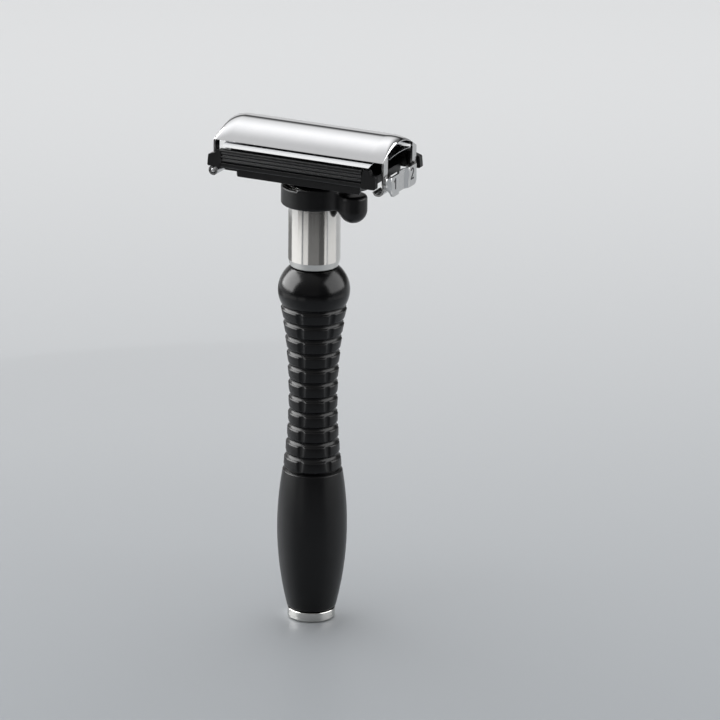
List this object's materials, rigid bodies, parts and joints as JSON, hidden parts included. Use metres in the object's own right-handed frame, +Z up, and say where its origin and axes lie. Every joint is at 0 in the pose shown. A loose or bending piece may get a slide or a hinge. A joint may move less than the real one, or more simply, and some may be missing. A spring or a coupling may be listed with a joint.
{
  "type": "double-edge safety razor",
  "caption": "Safety razor with a ringed grip, a tilting head that a collar locks, and a hinged cap that clamps a double-edge blade behind a sprung side latch.",
  "frame": {"origin": "centre of the end cap's flat lower face, on the handle's axis", "axes": "+Z up the handle's axis to the head; +X along the head towards the numbered latch; -Y is the front, edge 1"},
  "size_m": [0.0459, 0.022, 0.1203],
  "materials": {
    "black_grip": "satin black moulded resin, polished on the bulb",
    "black_plastic": "fine-grained black moulded plastic",
    "ridged_plastic": "black moulded plastic with fine ridges",
    "brushed_stainless": "brushed stainless steel",
    "cap_chrome": "mirror-polished chrome",
    "blade_steel": "bright ground blade steel",
    "spring_steel": "plain steel pins, screws and springs",
    "brass": "turned brass"
  },
  "bodies": {
    "handle": {"end_cap": "brushed_stainless", "tie_rod": "spring_steel", "ballast_weight": "brass", "handle_grip": "black_grip", "neck_sleeve": "brushed_stainless", "tie_washer": "spring_steel", "tie_nut": "spring_steel", "plunger_guide": "brass", "swivel_cup": "brushed_stainless", "pivot_pin": "spring_steel", "tilt_spring_left": "spring_steel", "tilt_spring_right": "spring_steel", "brake_spring": "spring_steel"},
    "lock_ring": {"lock_ring": "black_plastic"},
    "brake": {"brake_plunger": "brass", "cross_pin": "spring_steel"},
    "head": {"pivot_block": "black_plastic", "head_base": "black_plastic", "head_screw_left": "spring_steel", "head_screw_right": "spring_steel", "blade_bed": "black_plastic", "front_guard": "black_plastic", "rear_guard": "black_plastic", "front_guard_strip": "ridged_plastic", "rear_guard_strip": "ridged_plastic", "cap_hinge_pin": "spring_steel"},
    "cap": {"cap_shell": "cap_chrome", "cap_core": "black_plastic", "blade": "blade_steel", "hinge_frame": "brushed_stainless"},
    "latch": {"side_latch": "brushed_stainless"}
  },
  "joints": [
    {"name": "head_tilt", "type": "hinge", "parent": "handle", "child": "head", "pos_m": [0, 0, 0.1056], "axis": [1, 0, 0], "range_deg": [-10, 10], "stiffness_Nm_per_rad": 0.05},
    {"name": "lock_turn", "type": "hinge", "parent": "handle", "child": "lock_ring", "pos_m": [0, 0, 0.104], "axis": [0, 0, 1], "range_deg": [0, 60]},
    {"name": "brake_slide", "type": "slide", "parent": "handle", "child": "brake", "axis": [0, 0, 1], "range_m": [0, 0.00035], "deforming": ["brake_spring"]},
    {"name": "cap_open", "type": "hinge", "parent": "head", "child": "cap", "pos_m": [-0.022, 0, 0.1086], "axis": [0, -1, 0], "range_deg": [0, 95]},
    {"name": "latch_flex", "type": "hinge", "parent": "cap", "child": "latch", "pos_m": [0.0213, 0, 0.1159], "axis": [0, -1, 0], "range_deg": [0, 12], "stiffness_Nm_per_rad": 0.05}
  ],
  "couplings": [
    {"joint": "brake_slide", "follows": "lock_turn", "m_per_rad": 0.00028648}
  ]
}
